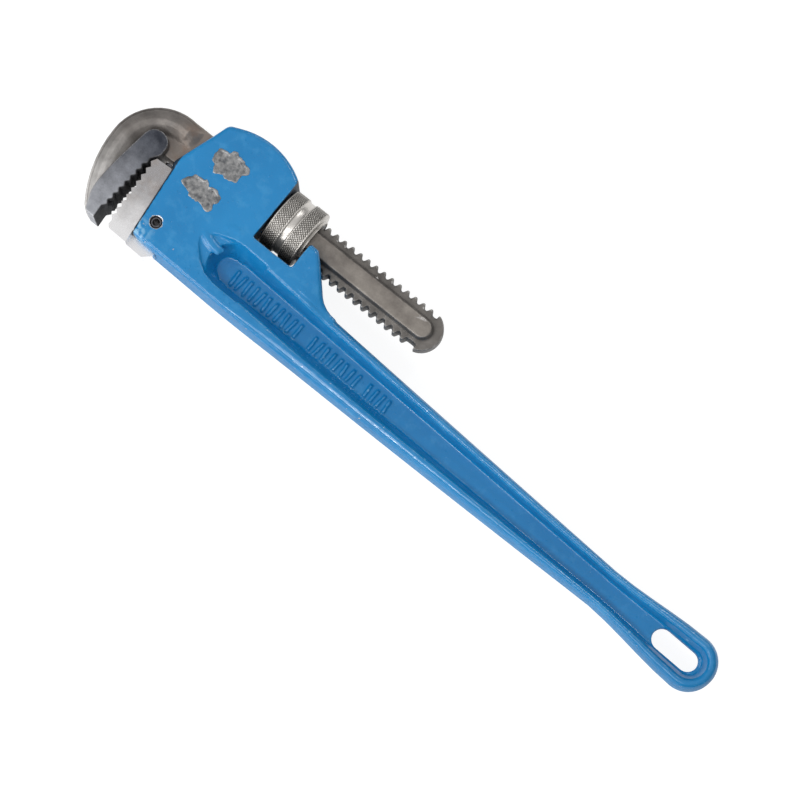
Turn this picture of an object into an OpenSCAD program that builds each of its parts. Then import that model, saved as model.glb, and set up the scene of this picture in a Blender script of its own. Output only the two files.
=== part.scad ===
// Pipe wrench, straight pattern, 18 inch size.
// A cast handle carries a pinned heel jaw. A floating hook jaw runs through the housing
// on a threaded shank, drawn in and out by a knurled nut that is trapped in a window.
// The wrench lies on its side: X runs along the handle, away from the jaws, Y from the
// open front of the jaws to the back of the housing, and Z up.
// Inside, X = 0 and Y = 0 is where the handle's centre line meets the face that the nut
// bears on, and Z = 0 is the wrench's middle plane.

/* [Handle] */
// Length from the nut's bearing face to the end of the handle
handle_len = 312.6; // [260:0.2:400]
// Radius of the handle's round end
end_r = 14.2; // [13:0.1:18]
// Width of the handle at its waist
waist_w = 20.6; // [19:0.1:26]
// Distance from the waist to the centre of the round end
waist_back = 56.4; // [40:0.2:80]
// Height of the back flange's edge above the centre line, at the root
root_rear = 14.9; // [14:0.1:16.5]
// Depth of the front flange's edge below the centre line, at the root
root_front = 18.9; // [17:0.1:22]
// Half thickness of the flanges at the root
flange_root = 13.2; // [12:0.1:15]
// Half thickness of the flanges at the round end
flange_end = 10.3; // [9:0.1:12]
// Thickness of the web between the flanges
web_t = 5.6; // [4:0.1:8]
// Half width of the flat web at the root
web_root = 6.2; // [5:0.1:7]
// Half width of the flat web at the waist
web_waist = 4.6; // [4:0.1:5]
// Half width of the flat web at the round end
web_end = 5.8; // [5.6:0.1:6.5]

/* [Hang slot] */
// Overall length of the slot
slot_l = 26.8; // [20:0.2:34]
// Width of the slot
slot_w = 10.8; // [8:0.1:11]
// Metal left between the slot and the end of the handle
slot_wall = 9.8; // [9:0.1:14]

/* [Housing] */
// Thickness of the housing, cheek to cheek
housing_t = 34; // [32:0.5:40]
// Rounding of the cheek's edges
edge_r = 2.2; // [1:0.1:3]
// Radius of the bulge behind the shank
bulge_r = 41; // [40:0.2:44]
// Place of the bulge's centre along the handle
bulge_x = -21.8; // [-24:0.2:-20]
// Height of the bulge's centre above the handle's centre line
bulge_y = 18.8; // [18:0.2:21]
// Place along the handle of the heel jaw's seat, at its back end
seat_x = -52.3; // [-54:0.1:-51]
// Height of the seat's back end above the handle's centre line
seat_y = 17; // [16:0.1:18]
// Angle of the seat to a square line across the handle
seat_angle = 8.6; // [4:0.1:10]
// Radius of the blend from the lug to the handle
lug_blend = 17; // [14:0.5:26]
// Height of the lug's top above the handle's centre line
lug_top = 34.4; // [31:0.1:36]

/* [Window] */
// Length of the window that holds the nut, along the shank
window_len = 24.2; // [23.8:0.1:26]
// Clearance between the nut and the floor of the window
window_clear = 1.8; // [0.8:0.1:3]

/* [Shank and thread] */
// Height of the shank's axis above the handle's centre line, at the nut's bearing face
shank_y = 36.3; // [35.6:0.1:37.5]
// Lean of the shank to the handle
lean = 1.9; // [1:0.1:2.5]
// Outer radius of the thread
thread_r = 11.4; // [11:0.1:11.8]
// Depth of the thread
thread_depth = 2.5; // [2.2:0.1:2.8]
// Pitch of the thread
pitch = 5; // [4.5:0.1:5.5]
// Width of a thread's crest
crest_w = 1.2; // [0.9:0.1:1.4]
// Thickness of the shank at its middle
shank_t = 14; // [13:0.1:14.4]
// Thickness of the shank's threaded edges
edge_t = 9; // [8:0.1:9.4]
// Half width of the raised middle of the shank
spine_w = 4.5; // [4:0.1:5]
// Distance from the nut's bearing face to the shank's tail end
tail_s = 103.1; // [96:0.1:110]

/* [Nut] */
// Outer radius of the nut
nut_r = 16.3; // [15:0.1:16.6]
// Length of the nut's knurled body
nut_len = 19.9; // [18:0.1:20.1]
// Length of the nut's plain nose
nose_len = 1.3; // [0.6:0.1:1.6]
// Width of the plain groove between the knurled bands
groove_w = 3.7; // [2:0.1:6]
// Depth of the plain groove
groove_d = 1; // [0.4:0.1:2]
// Clearance between the nut and the face that it bears on
nut_gap = 1; // [0.9:0.05:1.1]

/* [Jaws] */
// Width of the jaw teeth, across the wrench
jaw_w = 27; // [25:0.5:31]
// Thickness of the hook jaw's web
hook_web = 13.6; // [10:0.2:14]
// Thickness of the hook jaw's rim
hook_rim = 21; // [18:0.2:24]
// Spacing of the jaw teeth
tooth_pitch = 4.1; // [3.5:0.1:5]
// Depth of the jaw teeth
tooth_depth = 1.7; // [1:0.1:2]
// Gap between the jaws' teeth at their back end, closed
jaw_gap = 1.2; // [1:0.1:2.5]
// Thickness of the heel jaw's tongue
tongue_t = 12; // [10:0.2:13]
// Radius of the heel jaw's pin
pin_r = 2.98; // [2.5:0.01:3.3]

/* [Springs] */
// Thickness of the leaf that presses on the shank
leaf_t = 1.2; // [0.8:0.1:1.3]
// Width of the leaf
leaf_w = 11; // [9:0.2:13]
// Wire thickness of the coil spring
wire_d = 1.4; // [1:0.1:1.6]
// Outer radius of the coil spring
coil_r = 5; // [4.4:0.1:5.4]
// Turns of the coil spring that work
coil_turns = 4; // [3:1:6]
// Angle through which the hook jaw rocks
rock_angle = 2.5; // [1.5:0.1:2.8]

/* [Hidden] */
$fn = 72;

slide_clear = 0.3;               // running clearance of the shank in the housing
thread_clear = 0.2;              // axial clearance of a thread's flank in the nut
pin_fit = 0.02;                  // radial clearance of the pins in their holes
seat_clear = 0.2;                // clearance round the tongue and the coil's ends
half_t = housing_t / 2;
root_r = thread_r - thread_depth;
flank = ((pitch - 2 * crest_w) / 2) / thread_depth;   // axial run of a flank per mm of height

// handle
end_x = handle_len - end_r;      // centre of the round end
waist_x = end_x - waist_back;
foot_y = 19.2;                   // how far the housing's front corner reaches to the front
flange_x = 4;                    // where the front flange starts to thin out
blend_x = 62;                    // where it has reached the flanges' own thickness
nose_x = -18;                    // point of the hollow between the flanges
stations = 28;
web_skew = 1.6;                  // how much further the hollow reaches to the front at its root
rear_crest = 0.62;               // place of the flanges' crests at the root, as a share of their width
front_crest = 0.38;
rear_crest_y = 10.9;            // foot of the lug on the rear crest
lug_fall = 34;                   // the lug's cheeks thin out from here
lug_end = 58;                    // to here

// shank frame: s along the shank's axis, t towards the back
rock_run = sin(rock_angle);
nut_mid = nut_gap + (nut_len + nose_len) / 2;         // the rocking axis crosses here
neck_s = -8;                     // where the thread starts
thread_end = tail_s - 7.3;
neck_rear = thread_r - 1.2;
neck_front = thread_r + 1.2;
minor_r = root_r + 0.55;         // radius of the nut's bore
mouth_s = seat_x - 4;            // open end of the passage
lip_s = -47;                     // inner end of the lip at the mouth
lip_t = neck_front + rock_run * (nut_mid - mouth_s) + slide_clear;
leaf_from = -43;
leaf_to = -9;
leaf_at = thread_r + slide_clear;                     // the leaf's face towards the shank
curl = 1;                        // how far the leaf's ends turn away from the shank
cavity_t = leaf_at + leaf_t + curl + rock_run * (nut_mid - leaf_from) + slide_clear;
coil_s = -22;
coil_top = leaf_at + leaf_t;
coil_len = 13.6;
closed_turns = 1;                // flat turns at each end of the coil
coil_hole_r = coil_r + 0.6;

// jaws
hook_tip = [-64.5, -21.6];       // first tooth tip of the hook jaw, in the shank frame
nose = [-70, -59.3];             // front end of the hook jaw
block_w = 12.8;                  // width of the raised block behind the hook jaw's teeth
block_top = -4.9;
hook_rake = 4.5;                 // lean of the hook jaw's row of teeth
heel_tip = [-63.2 + 1.2 - jaw_gap, 14.2];
heel_rake = 5.15;
heel_front = -24.5;              // front end of the heel jaw
tongue_x = -32.4;
tongue_y = 12.2;
pin_at = [-40.5, -7.5];
head_c = [-62.5, -17.3];         // centre of the hook's crown
crown_r = 27.5;
rim_end = -52.6;                 // where the hook's raised rim dies out on the neck
cheek_r = 66.6;                  // radius of the hook's outer side, below the crown

// ---- geometry helpers -------------------------------------------------------------

function unit(v) = v / norm(v);
function ease(x) = let (c = min(max(x, 0), 1)) c * c * (3 - 2 * c);
function lerp(a, b, x) = a + (b - a) * x;
function polar(c, r, a) = c + r * [cos(a), sin(a)];
function arc(c, r, a0, a1, n) = [for (i = [0:n]) polar(c, r, lerp(a0, a1, i / n))];

// Corner b of a path from a to c, rounded to radius r
function corner(a, b, c, r, n) =
    let (u = unit(a - b), v = unit(c - b), half = acos(u * v) / 2,
         m = b + unit(u + v) * r / sin(half), p = b + u * r / tan(half) - m,
         turn = (u[0] * v[1] - u[1] * v[0] > 0 ? -1 : 1) * (180 - 2 * half))
    [for (i = [0:n]) let (w = turn * i / n)
        m + [p[0] * cos(w) - p[1] * sin(w), p[0] * sin(w) + p[1] * cos(w)]];

// Closed outline from vertices [x, y, corner radius]
function outline(v, n = 4) = let (k = len(v))
    [for (i = [0:k - 1]) let (q = v[i], b = [q[0], q[1]],
        a = [v[(i + k - 1) % k][0], v[(i + k - 1) % k][1]],
        c = [v[(i + 1) % k][0], v[(i + 1) % k][1]])
        each q[2] > 0 ? corner(a, b, c, q[2], n) : [b]];

// Unit normals and mitres to the left of a path, closed or open
function left(a, b) = let (d = unit(b - a)) [-d[1], d[0]];
function mitre(p, i, closed) = let (k = len(p),
    a = closed || i > 0 ? left(p[(i + k - 1) % k], p[i]) : left(p[i], p[i + 1]),
    b = closed || i < k - 1 ? left(p[i], p[(i + 1) % k]) : left(p[i - 1], p[i]))
    (a + b) / (1 + a * b);
function inset(p, d) = [for (i = [0:len(p) - 1]) p[i] + d * mitre(p, i, true)];

// Skin over a row of rings that each have the same number of points, turned outwards
module loft(rings, closed = false) {
    n = len(rings);
    m = len(rings[0]);
    p = [for (r = rings) each r];
    last = closed ? n - 1 : n - 2;
    sides = [for (i = [0:last]) for (j = [0:m - 1])
        let (a = i * m, b = ((i + 1) % n) * m, k = (j + 1) % m)
        each [[a + j, b + j, b + k], [a + j, b + k, a + k]]];
    end = (n - 1) * m;
    caps = closed ? [] : [for (j = [1:m - 2]) each [[0, j, j + 1], [end, end + j + 1, end + j]]];
    faces = concat(sides, caps);
    volumes = [for (f = faces) p[f[0]] * cross(p[f[1]], p[f[2]])];
    outward = volumes * [for (v = volumes) 1] < 0;
    polyhedron(p, outward ? faces : [for (f = faces) [f[2], f[1], f[0]]], convexity = 8);
}

// Section [inset, height] swept along a path, to its left
function sweep(p, section, closed) = [for (i = [0:len(p) - 1]) let (m = mitre(p, i, closed))
    [for (q = section) [p[i][0] + q[0] * m[0], p[i][1] + q[0] * m[1], q[1]]]];

// Slab with rounded edges on an outline
module rounded_slab(p, half, r) {
    core = r + 0.8;
    steps = 3;
    round_top = [for (i = [0:steps]) [r - r * cos(90 * i / steps), half - r + r * sin(90 * i / steps)]];
    upper = concat(round_top, [[core, half]]);
    lower = [for (i = [len(upper) - 1:-1:0]) [upper[i][0], -upper[i][1]]];
    loft(sweep(p, concat(upper, lower), true), closed = true);
    translate([0, 0, -half]) linear_extrude(2 * half) polygon(inset(p, r + 0.4));
}

// Row of teeth from a tip along a line, tips on the line and roots behind it
function teeth(tip, along, back, n) = [for (i = [0:n - 1])
    each [tip + along * tooth_pitch * i, tip + along * tooth_pitch * (i + 0.5) + back * tooth_depth]];

// ---- frames -----------------------------------------------------------------------

// Lifts the wrench onto its lower cheek and centres its length and width
module place() {
    back = bulge_y + bulge_r;
    front = shank_y + (nose[0] - 4) * sin(lean) + nose[1] * cos(lean);
    jaw_end = head_c[0] * cos(lean) - head_c[1] * sin(lean) - crown_r;
    translate([-(handle_len + jaw_end) / 2, -(back + front) / 2, half_t]) children();
}

// Shank frame: X along the shank's axis from the nut's bearing face, Y towards the back
module on_shank() {
    translate([0, shank_y, 0]) rotate([0, 0, lean]) children();
}

// ---- handle -----------------------------------------------------------------------

function waist_in(x) = min(max(x / waist_x, 0), 1);
function end_in(x) = ease((x - waist_x) / waist_back);
function rear_edge(x) = lerp(waist_w / 2 + (root_rear + 0.8 - waist_w / 2) * (1 - pow(waist_in(x), 0.8)),
    end_r, end_in(x));
function front_edge(x) = lerp(waist_w / 2 + (root_front - waist_w / 2) * (1 - pow(waist_in(x), 1.35)),
    end_r, end_in(x));
function web_edge(x, skew) = lerp(lerp(web_root + skew * (1 - ease(x / blend_x)), web_waist, waist_in(x)),
    web_end, end_in(x));
function soft(x) = ease((x - flange_x) / (blend_x - flange_x));
function crest(x, start) = lerp(start, 0.53, ease(x / blend_x));
function flange_half(x) = lerp(flange_root, flange_end, min(max(x / end_x, 0), 1));
function front_half(x) = lerp(half_t, flange_half(x), soft(x));
function lug_half(x) = lerp(half_t, flange_half(x) - 0.2, ease((x - lug_fall) / (lug_end - lug_fall)));

// Flange's section from the web out to the flank, as [height, half thickness]: a slope, a narrow crest
// at a share of the flange's width, and a shoulder that rounds off more as it softens
function flange_section(inner, outer, half, share, soft) = let (w = outer - inner, top = inner + share * w,
        drop = lerp(edge_r, 5.2, soft), reach = lerp(edge_r, outer - top - 0.8, soft),
        q = concat([[inner, web_t / 2], [inner + 0.8, web_t / 2 + 0.8], [top - 1.5, half - 1.3],
                    [top - 0.5, half - 0.25], [top + 0.5, half], [outer - reach, half - 0.01]],
            [for (a = [30, 60, 90]) [outer - reach + reach * sin(a), half - drop * (1 - cos(a))]], [[outer, 0]]))
    concat(q, [for (i = [len(q) - 2:-1:0]) [q[i][0], -q[i][1]]]);

module flange(rear) {
    from = -12;
    rings = [for (i = [0:stations]) let (x = lerp(from, end_x, i / stations),
        q = rear ? flange_section(web_edge(x, 0), rear_edge(x), max(lug_half(x), flange_half(x)) - 0.01,
                       crest(x, rear_crest), soft(x))
                 : flange_section(web_edge(x, web_skew), front_edge(x), front_half(x) - 0.01,
                       crest(x, front_crest), soft(x)))
        [for (p = q) [x, p[0], p[1]]]];
    if (rear) loft(rings);
    else mirror([0, 1, 0]) loft(rings);
}

module round_end() {
    translate([end_x, 0, 0]) rotate([0, 0, -90]) rotate_extrude(angle = 180)
        polygon(flange_section(web_end, end_r, flange_end, crest(end_x, 0), 1));
}

module web() {
    xs = [for (i = [0:8]) lerp(nose_x - 6, end_x, i / 8)];
    linear_extrude(web_t, center = true) {
        polygon(concat([for (x = xs) [x, web_edge(x, 0) + 0.8]],
            [for (i = [len(xs) - 1:-1:0]) [xs[i], -web_edge(xs[i], web_skew) - 0.8]]));
        translate([end_x, 0]) circle(web_end + 0.8);
    }
}

// Outline of the housing: front edge, the step round the hollow, the bulge, the heel seat
function housing_outline() = let (foot_x = seat_x + (seat_y + foot_y) * tan(seat_angle),
        bulge = arc([bulge_x, bulge_y], bulge_r, 52, 117, 12))
    outline(concat([[foot_x, -foot_y, 3.2], [flange_x, -front_edge(0), 0], [flange_x, -12.4, 0],
                    [flange_x, 12.6, 0], [3.4, 15, 0]],
        [for (q = bulge) [q[0], q[1], 0]],
        [[bulge[12][0] - 5, bulge[12][1] - 2.4, 4.5], [-47.6, 44.5, 6], [seat_x - 2, seat_y + 4.5, 4],
         [seat_x, seat_y, 0]]));

// Lug behind the window: its top falls away to the handle's back edge
function lug_edge(x) = let (foot = rear_edge(50), knee = lug_blend * (1 - cos(45)),
        slope_x = 29.6, arc_x = slope_x + lug_top - foot - knee, centre = arc_x + lug_blend * sin(45))
    x < slope_x ? lug_top :
    x < arc_x ? lug_top - (x - slope_x) :
    x < centre ? foot + lug_blend - sqrt(pow(lug_blend, 2) - pow(centre - x, 2)) : foot;

module lug() {
    from = -6;
    to = lug_end;
    foot = rear_crest_y;
    rings = [for (i = [0:20]) let (x = lerp(from, to, i / 20), top = lug_edge(x), r = min(edge_r, (top - foot) / 3),
        h = lug_half(x) - 0.02)
        [for (q = [[foot, h - r], [foot + 0.3 * r, h - 0.3 * r], [foot + r, h], [top - r, h],
                   [top - 0.3 * r, h - 0.3 * r], [top, h - r], [top, r - h], [top - 0.3 * r, 0.3 * r - h],
                   [top - r, -h], [foot + r, -h], [foot + 0.3 * r, 0.3 * r - h], [foot, r - h]]) [x, q[0], q[1]]]];
    loft(rings);
}

// Scooped end of the hollow between the flanges: its floor, and its wider mouth in the cheek
module hollow() {
    low = web_t / 2;
    high = half_t + 1;
    far = 16;
    floor_edge = [[-7, 1.4], [-4.4, 4.2], [0, 5.9], [far, 6.1], [far, -7.6], [0.5, -7.6], [-4, -4.8]];
    mouth = [[nose_x - 3.6, 3.6], [-13.4, 8.6], [-5, 11.8], [1, 12.4], [far, 12.4], [far, -12.2], [1, -12.4],
             [-6.2, -11.2], [-12.4, -7.8], [-18.6, -1.8]];
    hull() {
        translate([0, 0, low]) linear_extrude(0.01) polygon(floor_edge);
        translate([0, 0, high]) linear_extrude(0.01) polygon(mouth);
    }
}

// Passage of the shank, its spring cavity, the window and the slot between the lug's ears
module shank_ways() {
    half = shank_t / 2 + slide_clear;
    rear = thread_r + slide_clear;
    linear_extrude(2 * half, center = true) polygon([[mouth_s - 20, rear], [-1 + window_len, rear],
        [-1 + window_len, -rear], [0, -rear - rock_run * nut_mid], [leaf_to + 4, -rear - rock_run * nut_mid - 0.6],
        [leaf_to + 3, -cavity_t], [lip_s, -cavity_t], [lip_s - 0.5, -lip_t], [mouth_s - 20, -lip_t]]);
    translate([0, -nut_r - window_clear, -half_t - 1]) cube([window_len, 60, housing_t + 2]);
    translate([window_len - 1, -rear - 0.2, -half]) cube([60, 60, 2 * half]);
    translate([coil_s, -cavity_t + 1, 0]) rotate([90, 0, 0])
        cylinder(r = coil_hole_r, h = 1 + coil_top + coil_len + seat_clear - cavity_t);
}

// Slot that takes the heel jaw's tongue, open at the seat and at the front
module tongue_slot() {
    half = tongue_t / 2 + seat_clear;
    translate([-70, -40, -half]) cube([70 + tongue_x + seat_clear, 40 + tongue_y + seat_clear, 2 * half]);
}

module pin_hole() {
    translate([pin_at[0], pin_at[1], -half_t - 1]) cylinder(r = pin_r + pin_fit, h = housing_t + 2);
}

module hang_slot() {
    reach = slot_l / 2 - slot_w / 2;
    translate([handle_len - slot_wall - slot_l / 2, 0, -half_t]) {
        for (side = [-1, 1]) translate([side * reach, 0, 0]) cylinder(d = slot_w, h = housing_t);
        translate([-reach, -slot_w / 2, 0]) cube([2 * reach, slot_w, housing_t]);
    }
}

module housing() {
    rounded_slab(housing_outline(), half_t, edge_r);
}

module handle() color("steelblue") place() {
    difference() {
        union() {
            housing();
            lug();
            flange(true);
            flange(false);
            web();
            round_end();
        }
        hollow();
        mirror([0, 0, 1]) hollow();
        on_shank() shank_ways();
        tongue_slot();
        pin_hole();
        hang_slot();
    }
}

// ---- heel jaw and its pin -----------------------------------------------------------

module heel_jaw() color("gainsboro") place() {
    along = [sin(heel_rake), -cos(heel_rake)];
    n = floor((heel_tip[1] - heel_front) / cos(heel_rake) / tooth_pitch);
    row = teeth(heel_tip, along, [1, 0], n);
    foot_x = seat_x + (seat_y - heel_front) * tan(seat_angle);
    top_x = seat_x - 0.6;
    difference() {
        union() {
            linear_extrude(jaw_w, center = true)
                polygon(concat([[top_x, seat_y + 1], [heel_tip[0] + 1.6, seat_y + 0.2]], row,
                    [[row[2 * n - 1][0], heel_front + 1.5], [row[2 * n - 1][0] + 1.5, heel_front],
                     [foot_x, heel_front], [seat_x, seat_y]]));
            linear_extrude(tongue_t, center = true)
                polygon([[seat_x + 1 - 2, tongue_y - 1.2], [seat_x + 3, tongue_y], [tongue_x - 3, tongue_y],
                    [tongue_x, tongue_y - 3], [tongue_x, heel_front + 4], [tongue_x - 4, heel_front],
                    [foot_x - 4, heel_front]]);
        }
        pin_hole();
    }
}

// Slotted spring pin, a little short of the cheeks' faces
module heel_jaw_pin() color("dimgray") place() {
    len = housing_t - 2;
    chamfer = 0.5;
    bore = pin_r - 1.1;
    translate([pin_at[0], pin_at[1], 0]) difference() {
        rotate_extrude() polygon([[bore, -len / 2], [pin_r - chamfer, -len / 2], [pin_r, chamfer - len / 2],
            [pin_r, len / 2 - chamfer], [pin_r - chamfer, len / 2], [bore, len / 2]]);
        translate([0, -0.4, -len]) cube([pin_r + 1, 0.8, 2 * len]);
    }
}

// ---- hook jaw -----------------------------------------------------------------------

// Outer side of the hook, from the neck over the crown and down to the nose
function hook_side() = concat(arc(head_c, crown_r, 84, 180, 14),
    [for (i = [1:7]) polar(head_c + [cheek_r - crown_r, 0], cheek_r, 180 + 36 * i / 7)]);

module hook_head() {
    side = hook_side();
    web_half = hook_web / 2;
    rim = hook_rim / 2;
    linear_extrude(hook_web, center = true)
        polygon(concat([[neck_s, -thread_r], [neck_s, neck_rear]], side,
            [nose - [4, 0], nose, hook_tip - [4, 0], [hook_tip[0] + 2.2, -neck_front],
             [lip_s - 5, -neck_front], [lip_s, -thread_r]]));
    path = concat([[rim_end, neck_rear], [rim_end - 3.8, neck_rear]], side);
    swell = [for (i = [0:len(path) - 1]) min(1, i * 0.55)];
    section = [[0, 2.5], [0.5, rim - 5.2], [2, rim - 2.3], [4.2, rim - 0.6], [6.4, rim], [9, rim - 0.8],
               [12, rim - 2.6], [14.6, web_half - 1]];
    loft([for (i = [0:len(path) - 1]) let (m = mitre(path, i, false),
        q = [for (k = section) [k[0], k[1] < web_half ? k[1] : lerp(web_half - 0.1, k[1], swell[i])]])
        [for (k = concat(q, [for (j = [len(q) - 1:-1:0]) [q[j][0], -q[j][1]]]))
            [path[i][0] + k[0] * m[0], path[i][1] + k[0] * m[1], k[1]]]]);
}

// Raised block that carries the hook jaw's teeth
module hook_teeth() {
    along = [-sin(hook_rake), -cos(hook_rake)];
    n = floor((hook_tip[1] - nose[1] - 1) / cos(hook_rake) / tooth_pitch);
    row = teeth(hook_tip, along, [-1, 0], n);
    right = hook_tip[0] + 2.6;
    left = right - block_w;
    linear_extrude(jaw_w, center = true)
        polygon(outline(concat([[right, hook_tip[1] + 7, 0], [right, block_top, block_w / 2 - 0.1],
            [left, block_top, block_w / 2 - 0.1], [left - 3.2, block_top - 26, 40],
            [left - 3.9, block_top - 43, 20], [nose[0] - 4, nose[1], 2], [nose[0] + 2, nose[1], 0]],
            [for (i = [2 * n - 1:-1:0]) [row[i][0], row[i][1], 0]],
            [[hook_tip[0] - 0.5, hook_tip[1] + 2.4, 0]])));
}

// Thread on one edge of the shank, as a strip of one continuous screw
module thread_strip(turn) {
    half = edge_t / 2;
    base = root_r - 2;
    run = flank * thread_depth;
    first = ceil((neck_s + 1.5) / pitch) * pitch;
    count = floor((thread_end - 1 - first) / pitch);
    zs = [for (i = [-2:2]) half * i / 2];
    crests = [for (i = [0:count]) first + pitch * (i - turn / 360)];
    stops = concat([[neck_s - 1, root_r]],
        [for (c = crests) each [[c - crest_w / 2 - run, root_r], [c - crest_w / 2, thread_r],
                                [c + crest_w / 2, thread_r], [c + crest_w / 2 + run, root_r]]],
        [[thread_end + 2, root_r]]);
    rings = [for (q = stops) concat(
        [for (z = zs) let (a = asin(z / q[1])) [q[0] + pitch * a / 360, q[1] * cos(a), z]],
        [for (z = [half, -half]) let (a = asin(z / q[1])) [q[0] + pitch * a / 360, base, z]])];
    rotate([turn, 0, 0]) loft(rings);
}

module shank() {
    core = sqrt(pow(root_r + 0.1, 2) - pow(edge_t / 2, 2));
    linear_extrude(edge_t, center = true) {
        translate([neck_s - 2, -core]) square([thread_end + 2 - neck_s, 2 * core]);
        intersection() {
            translate([tail_s - thread_r, 0]) circle(thread_r);
            translate([thread_end - 1, -20]) square([30, 40]);
        }
    }
    spine_end = thread_end - spine_w + 1;
    for (side = [0, 1]) mirror([0, 0, side]) hull() {
        for (s = [neck_s, spine_end]) {
            translate([s, 0, 0]) cylinder(r = spine_w + 1.3, h = edge_t / 2 + 0.2, $fn = 32);
            translate([s, 0, 0]) cylinder(r = spine_w, h = shank_t / 2, $fn = 32);
        }
    }
    thread_strip(0);
    thread_strip(180);
}

module hook_jaw() color("#857b72") place() on_shank() {
    hook_head();
    hook_teeth();
    shank();
}

// ---- nut ----------------------------------------------------------------------------

module nut_thread() {
    grow = thread_clear;
    inner = minor_r - 0.5;
    outer = thread_r + slide_clear;
    at_inner = crest_w / 2 + flank * (thread_r - inner) + grow;
    at_outer = crest_w / 2 - flank * (outer - thread_r) + grow;
    per_turn = 30;
    first = floor(nut_gap / pitch) - 1;
    turns = ceil((nut_len + nose_len) / pitch) + 2;
    loft([for (i = [0:turns * per_turn]) let (a = 360 * i / per_turn, s = pitch * (first + i / per_turn))
        [for (q = [[inner, -at_inner], [outer, -at_outer], [outer, at_outer], [inner, at_inner]])
            [s + q[1], q[0] * cos(a), q[0] * sin(a)]]]);
}

module adjusting_nut() color("silver") place() on_shank() {
    body = nut_gap + nut_len;
    mid = nut_gap + nut_len / 2;
    bevel = 1;
    nose_r = nut_r - 4.2;
    difference() {
        rotate([0, 90, 0]) rotate_extrude() polygon([
            [minor_r + 1, nut_gap], [nut_r - bevel, nut_gap], [nut_r, nut_gap + bevel], [nut_r, mid - groove_w / 2],
            [nut_r - groove_d, mid - groove_w / 2 + 0.3], [nut_r - groove_d, mid + groove_w / 2 - 0.3],
            [nut_r, mid + groove_w / 2], [nut_r, body - bevel], [nut_r - bevel, body], [nose_r, body],
            [nose_r, body + nose_len], [minor_r + 1, body + nose_len], [minor_r, body + nose_len - 1],
            [minor_r, nut_gap + 1]]);
        nut_thread();
    }
}

// ---- springs ------------------------------------------------------------------------

module flat_spring() color("slategray") place() on_shank() {
    reach = 5;
    top = [[leaf_to, -leaf_at - curl], [leaf_to - reach, -leaf_at], [leaf_from + reach, -leaf_at],
           [leaf_from, -leaf_at - curl]];
    difference() {
        linear_extrude(leaf_w, center = true)
            polygon(concat(top, [for (i = [3:-1:0]) top[i] - [0, leaf_t]]));
        translate([coil_s, -leaf_at - leaf_t, 0]) rotate([-90, 0, 0]) translate([0, 0, -1])
            cylinder(r = 1.5 + pin_fit, h = 5);
    }
}

// Rivet that centres the coil spring on the leaf
module spring_rivet() color("darkgray") place() on_shank() {
    translate([coil_s, -leaf_at - leaf_t, 0]) rotate([-90, 0, 0]) rotate_extrude()
        polygon([[0, -1.4], [2.6, -1.4], [3.1, -0.9], [3.1, 0], [1.5, 0], [1.5, leaf_t], [0, leaf_t]]);
}

// Height of the coil's wire after n turns, with closed turns at both ends
function coil_lift(n) = wire_d * min(n, closed_turns)
    + (coil_len - wire_d * (1 + 2 * closed_turns)) * min(max((n - closed_turns) / coil_turns, 0), 1)
    + wire_d * max(n - closed_turns - coil_turns, 0);

module coil_spring() color("lightslategray") place() on_shank() {
    turn_r = coil_r - wire_d / 2;
    per_turn = 16;
    turns = coil_turns + 2 * closed_turns;
    translate([coil_s, -coil_top - wire_d / 2 - 0.05, 0]) rotate([90, 0, 0])
        loft([for (i = [0:turns * per_turn]) let (n = i / per_turn, a = 360 * n)
            [for (k = [0:7]) let (b = 45 * k, r = turn_r + wire_d / 2 * cos(b))
                [r * cos(a), r * sin(a), coil_lift(n) + wire_d / 2 * sin(b)]]]);
}

handle();
heel_jaw();
heel_jaw_pin();
hook_jaw();
adjusting_nut();
flat_spring();
spring_rivet();
coil_spring();
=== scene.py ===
"""Looks of an 18 inch pipe wrench: cast handle, forged hook jaw, knurled nut and their springs.

Lengths are worked out in millimetres and built in the part's frame, in metres.
"""

import math

import bmesh
import bpy
from mathutils import Matrix, Vector
from mathutils.bvhtree import BVHTree


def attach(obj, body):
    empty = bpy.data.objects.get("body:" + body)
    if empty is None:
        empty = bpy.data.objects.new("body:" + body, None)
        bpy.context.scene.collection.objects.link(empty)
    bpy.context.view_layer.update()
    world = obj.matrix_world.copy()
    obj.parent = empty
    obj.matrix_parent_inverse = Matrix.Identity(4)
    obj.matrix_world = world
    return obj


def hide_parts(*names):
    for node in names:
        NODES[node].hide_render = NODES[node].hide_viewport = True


MM = 0.001

# ---- sizes of the wrench, in mm ------------------------------------------------------

ORIGIN = (-111.604, -17.19, 17.0)   # from the handle's own axes to the part's frame
SHANK_Y = 36.3                      # height of the shank's axis at the nut's bearing face
LEAN = math.radians(1.9)            # how far the shank leans from the handle's line
CHEEK = 17.0                        # half the housing's thickness
SEAT = (-52.3, 17.0, 8.6)           # heel jaw's seat: x, y and its slope in degrees
PIN = (-40.5, -7.5)                 # centre of the heel jaw's pin
HOLE_RING = (3.3, 3.7)              # radii between which the bare ring round the pin fades out
PITCH = 5.0                         # of the thread
THREAD_R = 11.4                     # outer radius of the thread
NUT_R = 16.3
NUT_GAP = 1.0                       # from the nut's bearing face to the nut
NUT_LEN = 19.9
NUT_NOSE = 1.3                      # length of the boss on the nut's far face
GROOVE_W = 3.9                      # width of the plain groove round the nut
WEB = 2.8                           # half the web's thickness
KNURL = 1.5                         # spacing of the knurl's ridges
HOOK_SHARES = ("ground_block", "neck", "shank", "plateau", "tooth_face", "painted_front_light")

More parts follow.
